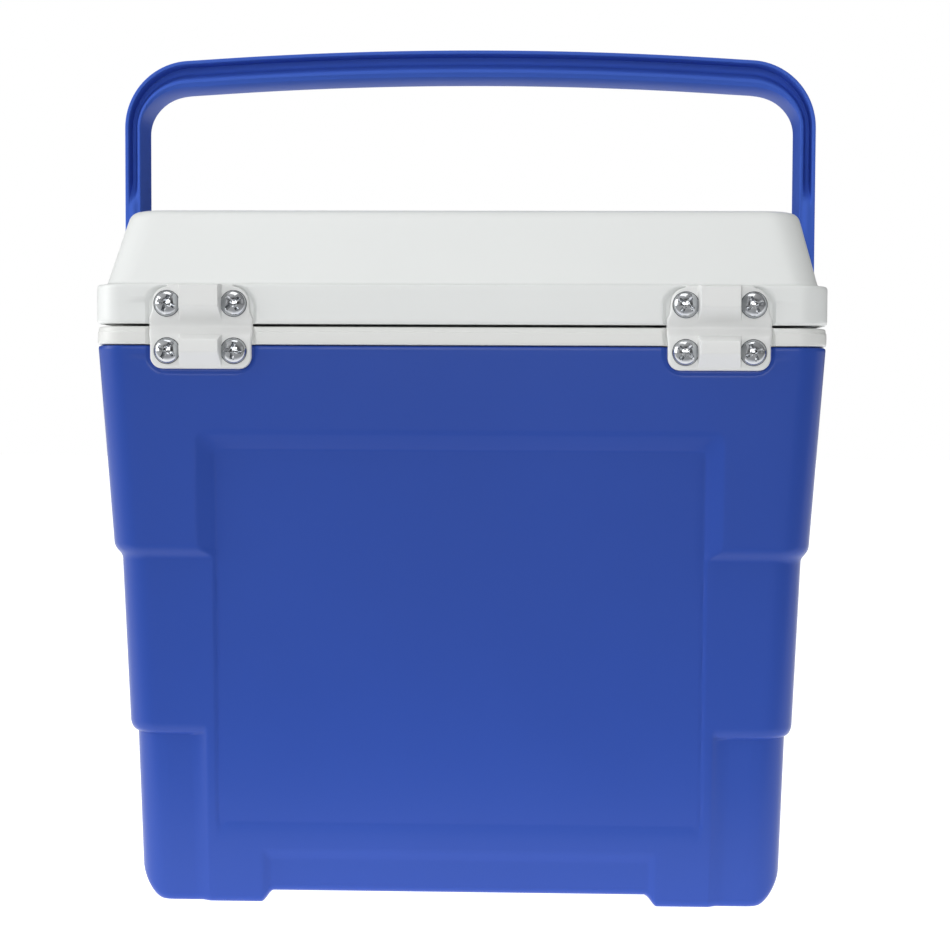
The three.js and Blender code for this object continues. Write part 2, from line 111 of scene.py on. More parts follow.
def roll_off(t):
    """0 at t=0, falling away like a quarter circle to 1 at t=1."""
    return 1 - np.sqrt(1 - np.clip(t, 0, 1) ** 2)


def spaced(start, end, marks, fine, coarse, reach):
    """Places from start to end, close together near the marks."""
    places = [start]
    while places[-1] < end:
        here = places[-1]
        near = any(abs(here - mark) < reach for mark in marks)
        places.append(here + (fine if near else coarse))
    kept = places[:-1] if end - places[-2] > fine / 2 else places[:-2]
    return np.array(kept + [end])


def mirrored(places):
    """Places from 0 outward, made to run from one side to the other."""
    return np.concatenate([-places[:0:-1], places])


def filleted(points, cuts, steps=5):
    """A line through points with its corners rounded off, starting cut away from each corner."""
    points = np.asarray(points, float)
    line = [points[0]]
    for before, corner, after, cut in zip(points, points[1:], points[2:], cuts):
        if cut <= 0:
            line.append(corner)
            continue
        back, ahead = before - corner, after - corner
        reach = [min(cut, 0.48 * np.linalg.norm(v)) / np.linalg.norm(v) for v in (back, ahead)]
        first, last = corner + back * reach[0], corner + ahead * reach[1]
        for t in np.linspace(0, 1, steps + 1):
            line.append((1 - t) ** 2 * first + 2 * t * (1 - t) * corner + t * t * last)
    line.append(points[-1])
    return np.array(line)


def make_mesh(name, vertices, faces, sharp_deg=38):
    mesh = bpy.data.meshes.new(name)
    mesh.from_pydata((np.asarray(vertices) * MM).tolist(), [], faces)
    mesh.validate()
    mesh.shade_smooth()
    mesh.set_sharp_from_angle(angle=math.radians(sharp_deg))
    piece = bpy.data.objects.new(name, mesh)
    bpy.context.scene.collection.objects.link(piece)
    return piece


def skin(name, rows, closed_rows=False, sharp_deg=38):
    """A closed mesh over rows of points, each row a closed ring; the end rows are capped unless they join."""
    rows = np.asarray(rows, float)
    levels, count, _ = rows.shape
    faces = []
    for level in range(levels if closed_rows else levels - 1):
        above = (level + 1) % levels
        for i in range(count):
            j = (i + 1) % count
            faces.append((level * count + i, level * count + j, above * count + j, above * count + i))
    if not closed_rows:
        faces.append(tuple(range(count - 1, -1, -1)))
        faces.append(tuple((levels - 1) * count + i for i in range(count)))
    piece = make_mesh(name, rows.reshape(-1, 3), faces, sharp_deg)
    face_outward(piece)
    return piece


def face_outward(piece):
    """Turns the faces round if the closed mesh is inside out."""
    mesh = piece.data
    mesh.calc_loop_triangles()
    count = len(mesh.loop_triangles)
    corners = np.zeros(count * 3, np.int32)
    mesh.loop_triangles.foreach_get("vertices", corners)
    places = np.zeros(len(mesh.vertices) * 3)
    mesh.vertices.foreach_get("co", places)
    a, b, c = places.reshape(-1, 3)[corners.reshape(-1, 3)].transpose(1, 0, 2)
    if np.einsum("ij,ij->i", a, np.cross(b, c)).sum() < 0:
        mesh.flip_normals()


# ---------------------------------------------------------------- round-cornered rings
CORNER_STEPS = 12
LONG_MARKS = (93, 97, 118, 126, 122, HINGE_X - 27, HINGE_X - 19, HINGE_X + 19, HINGE_X + 27)
LONG_FLAT = mirrored(spaced(0, 150, LONG_MARKS, 0.9, 4.0, 4.2))
SHORT_FLAT = mirrored(spaced(0, 100, (4, 10, 16, 22, 58, 62, 73, 80), 1.1, 3.0, 3.5))
FIXED_LONG = 152.0
FIXED_SHORT = 104.0


def ring_plan(half_x, half_y, radius):
    """Points round one ring, from the middle of the arc after +X: x, y, face and place along it.

    face is 0 on +Y, 1 on -X, 2 on -Y, 3 on +X and -1 on the corner arcs.
    """
    radius = min(radius, half_x - 1, half_y - 1)
    long_flat = np.clip(LONG_FLAT * min(1, (half_x - radius) / FIXED_LONG), -(half_x - radius), half_x - radius)
    short_flat = np.clip(SHORT_FLAT * min(1, (half_y - radius) / FIXED_SHORT), -(half_y - radius), half_y - radius)
    arc = np.linspace(0, math.pi / 2, CORNER_STEPS + 1)
    xs, ys, faces, turns = [], [], [], []

    def add(x, y, face, turn):
        xs.append(x)
        ys.append(y)
        faces.append(np.full(len(x), face))
        turns.append(turn)

    for quarter in range(4):
        sign_x = (1, -1, -1, 1)[quarter]
        sign_y = (1, 1, -1, -1)[quarter]
        angle = arc + quarter * math.pi / 2
        add(
            sign_x * (half_x - radius) + radius * np.cos(angle),
            sign_y * (half_y - radius) + radius * np.sin(angle),
            -1,
            angle,
        )
        flat = (long_flat, short_flat)[quarter % 2]
        along = flat[::-1] if quarter in (0, 1) else flat
        here = np.full(len(along), (half_y, -half_x, -half_y, half_x)[quarter])
        turn = np.full(len(along), (quarter + 1) * math.pi / 2)
        if quarter % 2 == 0:
            add(along, here, quarter, turn)
        else:
            add(here, along, quarter, turn)
    return [np.concatenate(part) for part in (xs, ys, faces, turns)]


def plain_ring(z, half_x, half_y, radius=CORNER_R):
    x, y, _, _ = ring_plan(half_x, half_y, radius)
    return np.stack([x, y, np.full_like(x, z)], 1)


def stack(profile, radius_of=lambda z, half_x: CORNER_R):
    """Rings along a profile of (z, half length, half depth)."""
    return np.array([plain_ring(z, hx, hy, radius_of(z, hx)) for z, hx, hy in profile])


def round_box_distance(across, up, half_across, low, high, radius):
    """Distance outside a round-cornered rectangle; negative inside."""
    a = np.abs(across) - half_across + radius
    b = np.abs(up - (low + high) / 2) - (high - low) / 2 + radius
    outside = np.hypot(np.maximum(a, 0), np.maximum(b, 0))
    return outside + np.minimum(np.maximum(a, b), 0) - radius


def pocket_surface(x, z, half=25.3, low=261.3, high=301.4):
    """Depth of the pockets that the hinge straps lie in, rising round their edge."""
    away = round_box_distance(np.abs(x) - HINGE_X, z, half, low, high, 8.6)
    return POCKET_FLOOR + np.maximum(away, 0) * 1.2


# ---------------------------------------------------------------- body shell
SHELL_HIGH_HALF = 130.6           # half depth of the body at its top edge
STEP_1 = 171.8                    # foot of the upper step
STEP_2 = 84.2                     # foot of the lower step
LIP_2 = 6.0                       # height of the rolled lip over the lower column
PANEL_TOP_Z = 223.9
PANEL_BOTTOM_Z = 38.6
PANEL_HALF = 118                  # half width of the long panels' floor
BORDER_TOP_Z = 232.6              # upper edge of the panel's sloped border
ARCH_TOP_Z = 22.5                 # upper edge of the recess over each arch
FOOT_ARCH = 5.5


def upper_plane(z):
    return SHELL_HIGH_HALF + (z - BODY_TOP) * 0.0623


def middle_plane(z):
    return SHELL_HIGH_HALF - 9.3 + (z - 171.5) * 0.0369


def panel_plane(z):
    flare = np.clip((z - 150) / (PANEL_TOP_Z - 150), 0, 1) ** 2
    return SHELL_HIGH_HALF - 8.5 + (z - PANEL_TOP_Z) * 0.0333 + 1.5 * flare


def column_plane(z):
    """Half depth of the corner columns above the lower step."""
    step = middle_plane(STEP_1) + (z - STEP_1) * 0.75
    return smooth_max(middle_plane(z), smooth_min(upper_plane(z), step, 1.6), 1.2)


def lower_inset(z):
    """How far the lower columns stand back from the plane above them."""
    return 2.9 - (STEP_2 - np.clip(z, 0, STEP_2)) * 0.008


def face_height(along, z, shrink):
    """Half depth of one face, column to column; shrink is 0 on the long faces."""
    across = np.abs(along) + shrink

    def line(place, at, half_width):
        """A fine rounded line, 1 where place is at and fading to each side."""
        return np.exp(-(((place - at) / half_width) ** 2))

    out = column_plane(z)
    under_lip = roll_off((STEP_2 + LIP_2 - z) / LIP_2)
    beside = roll_off((across - 122.0) / 3.4)
    out = out - lower_inset(z) * np.clip(smooth_min(under_lip, beside, 0.3), 0, 1)
    floor = panel_plane(z)
    side = floor + (across - PANEL_HALF) * (0.45 + 0.3 * ease((177 - z) / 8))
    top = floor + (z - PANEL_TOP_Z) * 0.47
    bottom = floor + np.minimum(PANEL_BOTTOM_Z - z, 1.6) * 0.4
    recess = smooth_max(smooth_max(smooth_max(side, top, 2.6), bottom, 0.4), floor, 0.2)
    out = smooth_min(out, recess, 0.3)
    inside_z = ease((PANEL_TOP_Z + 1 - z) / 2) * ease((z - PANEL_BOTTOM_Z - 1) / 3)
    out = out - 0.30 * line(across, PANEL_HALF + 0.3, 0.8) * inside_z
    inside_x = ease((119.0 - across) / 2)
    out = out - 0.10 * line(z, PANEL_TOP_Z + 0.2, 0.7) * inside_x
    out = out - 0.16 * line(z, BORDER_TOP_Z, 0.7) * ease((126.0 - across) / 4)
    out = out + 0.25 * line(z, PANEL_BOTTOM_Z + 0.8, 0.7) * ease((116.0 - across) / 3)
    arch_floor = middle_plane(z) - 1.5
    arch = smooth_max(arch_floor + (across - 93.0) * 0.5, arch_floor + (z - ARCH_TOP_Z) * 0.32, 0.8)
    return smooth_min(out, smooth_max(arch, arch_floor, 0.3), 0.5)


def corner_height(z):
    under_lip = roll_off((STEP_2 + LIP_2 - z) / LIP_2)
    return column_plane(z) - lower_inset(z) * under_lip


def under_height(x, y):
    """Height of the underside: 0 on the four feet, raised between them."""
    foot_x = ease((np.abs(x) - 91.5) / 6)
    foot_y = ease((np.abs(y) - 57) / 6)
    return FOOT_ARCH * (1 - foot_x * foot_y)


def boss_height(y, z):
    """The round boss that each handle pin sits in, as half length."""
    away = np.hypot(y - PIVOT[1], z - PIVOT[2]) - 17.5
    return 177.0 - np.maximum(away, 0) * 1.7


def body_ring(z_rest):
    """One ring of the body's outside; near the floor it follows the feet and rounds under."""
    half_y = float(corner_height(np.array(z_rest)))
    half_x = half_y + LENGTH_TO_DEPTH
    x, y, face, turn = ring_plan(half_x, half_y, CORNER_R)
    lift = under_height(x, y) * (1 - ease(z_rest / 24))
    z = z_rest + lift
    side_share = np.cos(turn) ** 2
    on_foot = ease((np.abs(y) - 57) / 6)
    roll_r = 4.0 + 13.5 * side_share * on_foot
    inset = roll_r * roll_off((roll_r - z_rest) / roll_r)
    top_r = 1.5
    inset = inset + top_r * roll_off((z_rest - (BODY_TOP - top_r)) / top_r)
    rear = face_height(x, z, 0.0)
    rear = np.where(face == 0, smooth_min(rear, pocket_surface(x, z), 0.3), rear)
    side = LENGTH_TO_DEPTH + face_height(y, z, LENGTH_TO_DEPTH)
    side = smooth_max(side, boss_height(y, z), 0.8)
    y = np.where(face == 0, rear, np.where(face == 2, -rear, y))
    x = np.where(face == 3, side, np.where(face == 1, -side, x))
    x = x - inset * np.cos(turn)
    y = y - inset * np.sin(turn)
    return np.stack([x, y, z], 1)


def body_shell():
    marks = (
        0, 3, 6, 9, 12, 15, 18, 23, 28, 39, 84, 90, 170, 175, 178,
        203, 208, 213, 218, 224, 229, 233, 238, 259, 263, 268, BODY_TOP,
    )
    heights = spaced(0.0, BODY_TOP, marks, 0.8, 4.0, 3.0)
    outside = np.array([body_ring(z) for z in heights])
    under = []
    for share in np.linspace(0, 0.985, 56)[:0:-1]:
        ring = outside[0] * [1 - share, 1 - share, 1]
        ring[:, 2] = under_height(ring[:, 0], ring[:, 1])
        under.append(ring)
    hollow = [(BODY_TOP, 173.0), (242, 170.6), (223.7, 164.3), (170, 162.5), (12, 154.2)]
    inside = stack([(z, half, half - LENGTH_TO_DEPTH) for z, half in hollow])
    return skin("body_shell_moulded", np.concatenate([under, outside, inside]))


# ---------------------------------------------------------------- liner with its rim
def inner_liner():
    half = LINER_HIGH[0]
    top = RIM_TOP
    floor = 26.0
    profile = filleted([
        (RIM_BOTTOM + 1, half - 3.5), (RIM_BOTTOM, half - 3.2), (RIM_BOTTOM, half - 0.2),
        (RIM_BOTTOM + 1.6, half), (top - 2.6, half), (top - 2.2, half - 0.35), (top, half - 0.5),
        (top, 158.0), (top - 1.4, 155.9), (floor, 146.0), (floor, 20.0 + LENGTH_TO_DEPTH),
    ], (0, 0.9, 0.8, 0.5, 0.4, 1.3, 1.2, 2.0, 16.0), 6)
    under = [
        (top - 3, half - 3.5), (top - 3, 158.2), (floor + 6, 148.6), (floor - 2.4, 140.0),
        (floor - 2.4, 20.0 + LENGTH_TO_DEPTH),
    ]
    rings = []
    for z, hx in list(profile[::-1]) + under:
        radius = CORNER_R - 3 if hx < 165 else CORNER_R
        ring = plain_ring(z, hx, hx - LENGTH_TO_DEPTH, radius)
        notch = pocket_surface(ring[:, 0], ring[:, 2])
        rear = (ring[:, 1] > 126) & (np.abs(ring[:, 0]) < 160)
        ring[:, 1] = np.where(rear, smooth_min(ring[:, 1], notch, 0.3), ring[:, 1])
        rings.append(ring)
    return skin("inner_liner_moulded", rings)


# ---------------------------------------------------------------- lid
def thumb_lip(x, z):
    """Half depth of the finger lip in the middle of the lid's front."""
    reach = -LID_LOW[1] - 0.2
    edge = np.maximum(np.abs(x) - 41, 0) * 1.6
    slope = np.maximum(z - 289.5, 0) * 1.05
    under = np.maximum(286.6 - z, 0) * 6.0
    return reach - edge - slope - under


def lid_shell():
    depth = LID_HALF - LENGTH_TO_DEPTH
    corners = [
        (LID_BOTTOM + 5, LID_HALF - 3.4, depth - 3.4), (LID_BOTTOM, LID_HALF - 3.2, depth - 3.2),
        (LID_BOTTOM, LID_HALF, depth), (SKIRT_TOP, LID_HALF, depth),
        (SKIRT_TOP + 0.5, LID_HALF - 4.0, depth - 4.0), (LID_TOP - 0.5, 166.2, 99.6),
        (LID_TOP, 152.0, 86.0), (LID_TOP, 80.0, 30.0),
    ]
    profile = filleted(corners, (0.5, 2.2, 1.8, 1.6, 6.0, 4.0), 7)
    skirt = spaced(LID_BOTTOM + 2.4, SKIRT_TOP - 2, (288, 300), 0.8, 1.6, 4.0)
    rows = [tuple(p) for p in profile if not LID_BOTTOM + 2.3 < p[0] < SKIRT_TOP - 1.9 or p[1] < LID_HALF - 1]
    at = max(i for i, p in enumerate(rows) if p[0] < LID_BOTTOM + 2.4 and p[1] > LID_HALF - 0.6) + 1
    rows[at:at] = [(z, LID_HALF, depth) for z in skirt]
    rings = []
    for z, hx, hy in rows:
        slope_share = ease((z - SKIRT_TOP) / 6)
        ring = plain_ring(z, hx, hy, CORNER_R + 1.0 * slope_share)
        on_skirt = hx > LID_HALF - 4.2 and z < SKIRT_TOP + 0.3
        if on_skirt and z < LID_BOTTOM + 22 and hx > LID_HALF - 3:
            x, y = ring[:, 0], ring[:, 1]
            rear = (y > 120) & (np.abs(x) < 160)
            front = (y < -120) & (np.abs(x) < 60)
            ring[:, 1] = np.where(rear, smooth_min(y, pocket_surface(x, np.full_like(x, z)), 0.3), y)
            lip = -smooth_max(-y, thumb_lip(x, z), 0.6)
            ring[:, 1] = np.where(front, lip, ring[:, 1])
        rings.append(ring)
    return skin("lid_shell_moulded", rings)


def lid_inner_panel():
    half = PANEL_HIGH[0]
    low, top = PANEL_LOW[2], PANEL_HIGH[2]
    plate = LID_BOTTOM + 0.3
    profile = filleted([
        (top, half - 20), (top, half), (plate, half), (plate, 153.8), (low, 152.0), (low, 138.0),
        (low + 1.6, 135.5), (low + 1.6, 60.0),
    ], (0.4, 0.4, 1.6, 3.0, 0.8, 0.8), 5)
    rings = stack([(z, hx, hx - LENGTH_TO_DEPTH) for z, hx in profile], lambda z, hx: min(CORNER_R - 3, hx / 4))
    return skin("lid_inner_panel_moulded", rings)


# ---------------------------------------------------------------- hinge straps
BLOCK_HALF = 9.4                  # half width of the stiffening blocks
BLOCK_FACE = STRAP_HIGH[1]
STRAP_FACE = 131.6                # depth plane of the strap's flat parts
STRAP_FOOT = STRAP_LOW[2] + 0.8
STRAP_TOP = 303.2


def strap_half(z):
    """Half width of a strap: widest at its fold, with round lower and upper corners."""
    upper = 22.3 + (STRAP_TOP - z) * 0.09
    lower = 24.3
    waist = 24.9
    half = np.where(z > FOLD[2], upper, lower)
    band = ease(1 - (np.abs(z - FOLD[2] + 0.6) - 2.6) / 5.0)
    half = half + (waist - half) * band
    radius = np.where(z > FOLD[2], 6.5, 6.0)
    end = np.where(z > FOLD[2], STRAP_TOP - 1.2 - z, z - STRAP_FOOT)
    corner = np.clip(1 - end / radius, 0, 1)
    return half - radius * roll_off(corner)


def strap_height(x, z):
    """Depth plane of a strap's outer face, with its fold and its two stiffening blocks."""
    face = STRAP_FACE - 1.5 * np.exp(-(((z - FOLD[2] + 0.4) / 3.0) ** 2))
    upper = smooth_min(BLOCK_FACE, STRAP_FACE + (z - 286.6) * 1.03, 0.5)
    upper = smooth_min(upper, 131.0 + (STRAP_TOP + 0.9 - z) * 4.0, 1.2)
    lower = smooth_min(BLOCK_FACE, STRAP_FACE + (z - 264.0) * 0.9, 0.5)
    lower = smooth_min(lower, 131.0 + (279.4 - z) * 2.6, 0.9)
    sides = 131.0 + (BLOCK_HALF + 0.9 - np.abs(x)) * 7.0
    block = smooth_min(smooth_max(upper, lower, 0.3), sides, 1.0)
    return smooth_max(face, block, 0.5)


def hinge_strap(side, centre_x):
    rows = spaced(STRAP_FOOT, STRAP_TOP, (262, 271, 278.5, 284, 292.5, 303), 0.45, 0.9, 2.5)
    inner = mirrored(spaced(0, BLOCK_HALF + 1.6, (BLOCK_HALF,), 0.35, 1.4, 1.6))
    edge = 1.0
    back_y = STRAP_LOW[1]
    rings = []
    for z in rows:
        half = float(strap_half(np.array(z)))
        outer = np.linspace(0, 1, 15)
        right = inner[-1] + (half - inner[-1]) * (1 - (1 - outer[1:]) ** 1.5)
        x = np.concatenate([-right[::-1], inner, right])
        y = strap_height(x, np.full_like(x, z))
        rim = np.minimum(half - np.abs(x), min(z - STRAP_FOOT, STRAP_TOP - z))
        on_block = (np.abs(x) < BLOCK_HALF) & (z > 290)
        drop = edge * roll_off(1 - rim / edge)
        y = y - np.where(on_block, 0, drop)
        front = np.stack([x, y], 1)
        back = np.stack([x[::-1], np.full(len(x), back_y + 0.05)], 1)
        loop = np.concatenate([front, back])
        rings.append(np.column_stack([centre_x + loop[:, 0], loop[:, 1], np.full(len(loop), z)]))
    return skin(f"hinge_strap_{side}", rings)


# ---------------------------------------------------------------- screws
def hinge_screw(node, spin_deg):
    """A pan head with a cross recess, its driver wings tapering to a point, on a short shank."""
    low, high = box_mm(node)
    centre = (low + high) / 2
    base_y = STRAP_FACE + 0.1
    radius = 6.35
    turns = 96
    angle = np.linspace(0, 2 * math.pi, turns, endpoint=False)
    radii = np.concatenate([[0.02], np.linspace(0.15, 4.7, 30), np.linspace(4.85, radius, 12)])
    rings = []
    for r in radii:
        a, b = r * np.cos(angle), r * np.sin(angle)
        dome = 3.9 * (1 - (r / 7.0) ** 2.3)
        shoulder = 1.1 * roll_off((r - 5.0) / 1.4)
        reach = np.maximum(np.abs(a), np.abs(b))
        thin = np.minimum(np.abs(a), np.abs(b))
        depth = np.clip(3.8 * (1 - (reach / 4.3) ** 2), 0, 3.1) * ease((0.86 - thin) / 0.14)
        cone = np.clip(2.2 * (1 - r / 1.7), 0, 2)
        height = dome - shoulder - np.maximum(depth, cone)
        rings.append(np.stack([a, height, b], 1))
    for r, h in ((radius, 0.5), (radius - 0.15, 0.0), (2.05, 0.0), (2.05, -9.0), (0.5, -10.0)):
        rings.append(np.stack([r * np.cos(angle), np.full(turns, h), r * np.sin(angle)], 1))
    rings = np.array(rings)
    spin = math.radians(spin_deg)
    x, z = rings[..., 0].copy(), rings[..., 2].copy()
    rings[..., 0] = x * math.cos(spin) - z * math.sin(spin) + centre[0]
    rings[..., 2] = x * math.sin(spin) + z * math.cos(spin) + centre[2]
    rings[..., 1] += base_y
    return skin(node.replace("hinge_screw", "screw"), rings, sharp_deg=30)


# ---------------------------------------------------------------- handle
ARM_OUTER = BAIL_HIGH[0]
BEND_R = 36.0
BEND_Z = 394.0
HALF_WIDTH = 15.0


def bail_line():
    """Places along the bail's outer face: x, z, angle, share of grip, share of groove."""
    bend_x = ARM_OUTER - BEND_R
    rise = BAIL_HIGH[2] - BEND_Z - BEND_R
    tilt = 2 * rise / bend_x
    half = []
    for z in spaced(PIVOT[2], BEND_Z - 2, (356, 364), 1.5, 8.0, 10):
        half.append((ARM_OUTER, z, 0.0, 0.0, float(ease((z - 352) / 16))))
    for t in np.linspace(0, 1, 25):
        angle = t * (math.pi / 2 - tilt)
        x = bend_x + BEND_R * math.cos(angle)
        half.append((x, BEND_Z + BEND_R * math.sin(angle), angle, float(ease(t)), 1.0))
    for t in np.linspace(0, 1, 22)[1:-1]:
        x = bend_x * (1 - t)
        half.append((x, BAIL_HIGH[2] - rise * (x / bend_x) ** 2, math.pi / 2 - tilt * x / bend_x, 1.0, 1.0))
    middle = (0.0, BAIL_HIGH[2], math.pi / 2, 1.0, 1.0)
    other = [(-x, z, math.pi - angle, grip, groove) for x, z, angle, grip, groove in half][::-1]
    return half + [middle] + other


def bail_section(grip, groove):
    """Half of the section: (inward, across) from the outer face's middle to the inner face's middle."""
    thick = 8.3 + 3.8 * grip
    crown = 3.7 * grip
    cut = HALF_WIDTH - 9.0 * groove
    edge = HALF_WIDTH - 0.4
    corners = [
        (0, 0), (0, HALF_WIDTH), (1.9, HALF_WIDTH), (2.3, cut), (4.6 + 1.6 * grip, cut + 0.5),
        (6.6 + 3.6 * grip, edge - 0.3), (thick - 0.3, edge), (thick + 0.2 * crown, edge - 1.2),
    ]
    belly = [(thick + crown * math.sin(t), edge * math.cos(t)) for t in np.linspace(0.45, math.pi / 2, 9)]
    return np.concatenate([filleted(corners, (0.8, 0.5, 0.7, 1.6, 1.2, 0.3), 6), belly])


def bail_handle():
    rings = []
    for x, z, angle, grip, groove in bail_line():
        half = bail_section(grip, groove)
        loop = np.concatenate([half, half[-2:0:-1] * [1, -1]])
        inward, across = loop[:, 0], loop[:, 1]
        rings.append(np.stack([x - inward * math.cos(angle), across, z - inward * math.sin(angle)], 1))
    return skin("bail_handle", rings)


def hub(side, sign):
    """The round end of one arm, with its edge rolled off."""
    inner, outer = ARM_OUTER - 8.4, ARM_OUTER + 0.15
    profile = filleted([(inner, 6.4), (inner, 17), (outer, 17), (outer, 6.4)], (0.8, 1.2), 5)
    return lathe_x(f"bail_hub_{side}", profile, sign, closed=True)


def lathe_x(name, profile, sign, closed=False, sides=72):
    """A turned piece about the handle's pivot line: profile is (x, radius)."""
    angle = np.linspace(0, 2 * math.pi, sides, endpoint=False)
    rings = []
    for x, r in profile:
        across = PIVOT[1] + r * np.cos(angle)
        up = PIVOT[2] + r * np.sin(angle)
        rings.append(np.stack([np.full(sides, sign * x), across, up], 1))
    return skin(name, rings, closed_rows=closed)


def pivot_pin(side, sign):
    tip, end = PIN_LOW[0], PIN_HIGH[0]
    head = ARM_OUTER + 0.3
    profile = filleted([
        (tip, 0.1), (tip, 5.4), (tip + 3, 6.0), (head, 6.0), (head, 10.0), (end, 9.4), (end, 5.0), (end - 0.5, 4.4),
        (end - 0.5, 0.1),
    ], (0.5, 0.5, 0.3, 0.4, 1.4, 0.3, 0.3), 5)
    return lathe_x(f"pivot_pin_{side}", profile, sign)


# ---------------------------------------------------------------- materials
def node(tree, kind, x=0, y=0, **values):
    made = tree.nodes.new(kind)
    made.location = (x, y)
    for name, value in values.items():
        if name in made.inputs:
            made.inputs[name].default_value = value
        else:
            setattr(made, name, value)
    return made


def moulded_plastic(name, colour, roughness, grain=0.05, tint=0.06, shine=0.5):
    """Moulded plastic: faint colour drift, uneven gloss and a fine orange-peel grain."""
    material = bpy.data.materials.new(name)
    material.use_nodes = True
    tree = material.node_tree
    shader = tree.nodes["Principled BSDF"]
    shader.inputs["Specular IOR Level"].default_value = shine
    place = node(tree, "ShaderNodeTexCoord", -1100, 0)
    drift = node(tree, "ShaderNodeTexNoise", -850, 200, Scale=9.0, Detail=5.0)
    colours = node(tree, "ShaderNodeValToRGB", -600, 200)
    darker = [c * (1 - tint) for c in colour]
    lighter = [min(1.0, c * (1 + tint)) for c in colour]
    colours.color_ramp.elements[0].color = (*darker, 1)
    colours.color_ramp.elements[0].position = 0.15
    colours.color_ramp.elements[1].color = (*lighter, 1)
    colours.color_ramp.elements[1].position = 0.85
    colours.color_ramp.interpolation = "EASE"
    gloss = node(tree, "ShaderNodeTexNoise", -850, -50, Scale=30.0, Detail=6.0)
    rough = node(tree, "ShaderNodeMapRange", -600, -50)
    rough.inputs["To Min"].default_value = roughness - 0.04
    rough.inputs["To Max"].default_value = roughness + 0.04
    peel = node(tree, "ShaderNodeTexNoise", -850, -300, Scale=900.0, Detail=2.0)
    bump = node(tree, "ShaderNodeBump", -350, -300, Strength=grain, Distance=0.0002)
    link = tree.links.new
    for texture in (drift, gloss, peel):
        link(place.outputs["Object"], texture.inputs["Vector"])
    link(drift.outputs["Fac"], colours.inputs["Fac"])
    link(colours.outputs["Color"], shader.inputs["Base Color"])
    link(gloss.outputs["Fac"], rough.inputs["Value"])
    link(rough.outputs["Result"], shader.inputs["Roughness"])
    link(peel.outputs["Fac"], bump.inputs["Height"])
    link(bump.outputs["Normal"], shader.inputs["Normal"])
    return material


def zinc_plate(name):
    """Bright zinc plating: a mirror-like metal with faint bluish drift and fine scuffs."""
    material = bpy.data.materials.new(name)
    material.use_nodes = True
    tree = material.node_tree
    shader = tree.nodes["Principled BSDF"]
    shader.inputs["Metallic"].default_value = 1.0
    place = node(tree, "ShaderNodeTexCoord", -1100, 0)
    drift = node(tree, "ShaderNodeTexNoise", -850, 200, Scale=260.0, Detail=2.0)
    colours = node(tree, "ShaderNodeValToRGB", -600, 200)
    colours.color_ramp.elements[0].color = (0.36, 0.38, 0.41, 1)
    colours.color_ramp.elements[1].color = (0.62, 0.63, 0.64, 1)
    scuff = node(tree, "ShaderNodeTexNoise", -850, -100, Scale=1400.0, Detail=3.0)
    rough = node(tree, "ShaderNodeMapRange", -600, -100)
    rough.inputs["To Min"].default_value = 0.06
    rough.inputs["To Max"].default_value = 0.17
    bump = node(tree, "ShaderNodeBump", -350, -300, Strength=0.15, Distance=0.0001)
    link = tree.links.new
    link(place.outputs["Object"], drift.inputs["Vector"])
    link(place.outputs["Object"], scuff.inputs["Vector"])
    link(drift.outputs["Fac"], colours.inputs["Fac"])
    link(colours.outputs["Color"], shader.inputs["Base Color"])
    link(scuff.outputs["Fac"], rough.inputs["Value"])
    link(rough.outputs["Result"], shader.inputs["Roughness"])
    link(scuff.outputs["Fac"], bump.inputs["Height"])
    link(bump.outputs["Normal"], shader.inputs["Normal"])
    return material


def rigid_foam(name):
    """Cut polyurethane foam: pale straw colour with small cells."""
    material = bpy.data.materials.new(name)
    material.use_nodes = True
    tree = material.node_tree
    shader = tree.nodes["Principled BSDF"]
    shader.inputs["Roughness"].default_value = 0.9
    place = node(tree, "ShaderNodeTexCoord", -900, 0)
    cells = node(tree, "ShaderNodeTexVoronoi", -650, 0, Scale=700.0)
    colours = node(tree, "ShaderNodeValToRGB", -400, 100)
    colours.color_ramp.elements[0].color = (0.62, 0.50, 0.27, 1)
    colours.color_ramp.elements[1].color = (0.83, 0.74, 0.48, 1)
    bump = node(tree, "ShaderNodeBump", -350, -200, Strength=0.4, Distance=0.0005)
    link = tree.links.new
    link(place.outputs["Object"], cells.inputs["Vector"])
    link(cells.outputs["Distance"], colours.inputs["Fac"])
    link(colours.outputs["Color"], shader.inputs["Base Color"])
    link(cells.outputs["Distance"], bump.inputs["Height"])
    link(bump.outputs["Normal"], shader.inputs["Normal"])
    return material


MATERIALS = {
    "blue_shell": moulded_plastic("blue_shell_plastic", (0.023, 0.069, 0.370), 0.30, 0.10, 0.03, 0.25),
    "blue_handle": moulded_plastic("blue_handle_plastic", (0.052, 0.124, 0.55), 0.44, 0.06, 0.03, 0.07),
    "white_lid": moulded_plastic("white_lid_plastic", (0.80, 0.82, 0.81), 0.38, 0.07, 0.012),
    "white_rim": moulded_plastic("white_rim_plastic", (0.77, 0.78, 0.76), 0.36, 0.05, 0.012),
    "white_hinge": moulded_plastic("white_hinge_plastic", (0.80, 0.81, 0.80), 0.36, 0.05, 0.012),
    "foam": rigid_foam("rigid_foam"),
    "zinc_screw": zinc_plate("bright_zinc"),
}


def finish_piece(piece, slot):
    piece.data.materials.clear()
    piece.data.materials.append(MATERIALS[slot])


def place_piece(piece, slot, body, *nodes):
    finish_piece(piece, slot)
    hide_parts(*nodes)
    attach(piece, body)


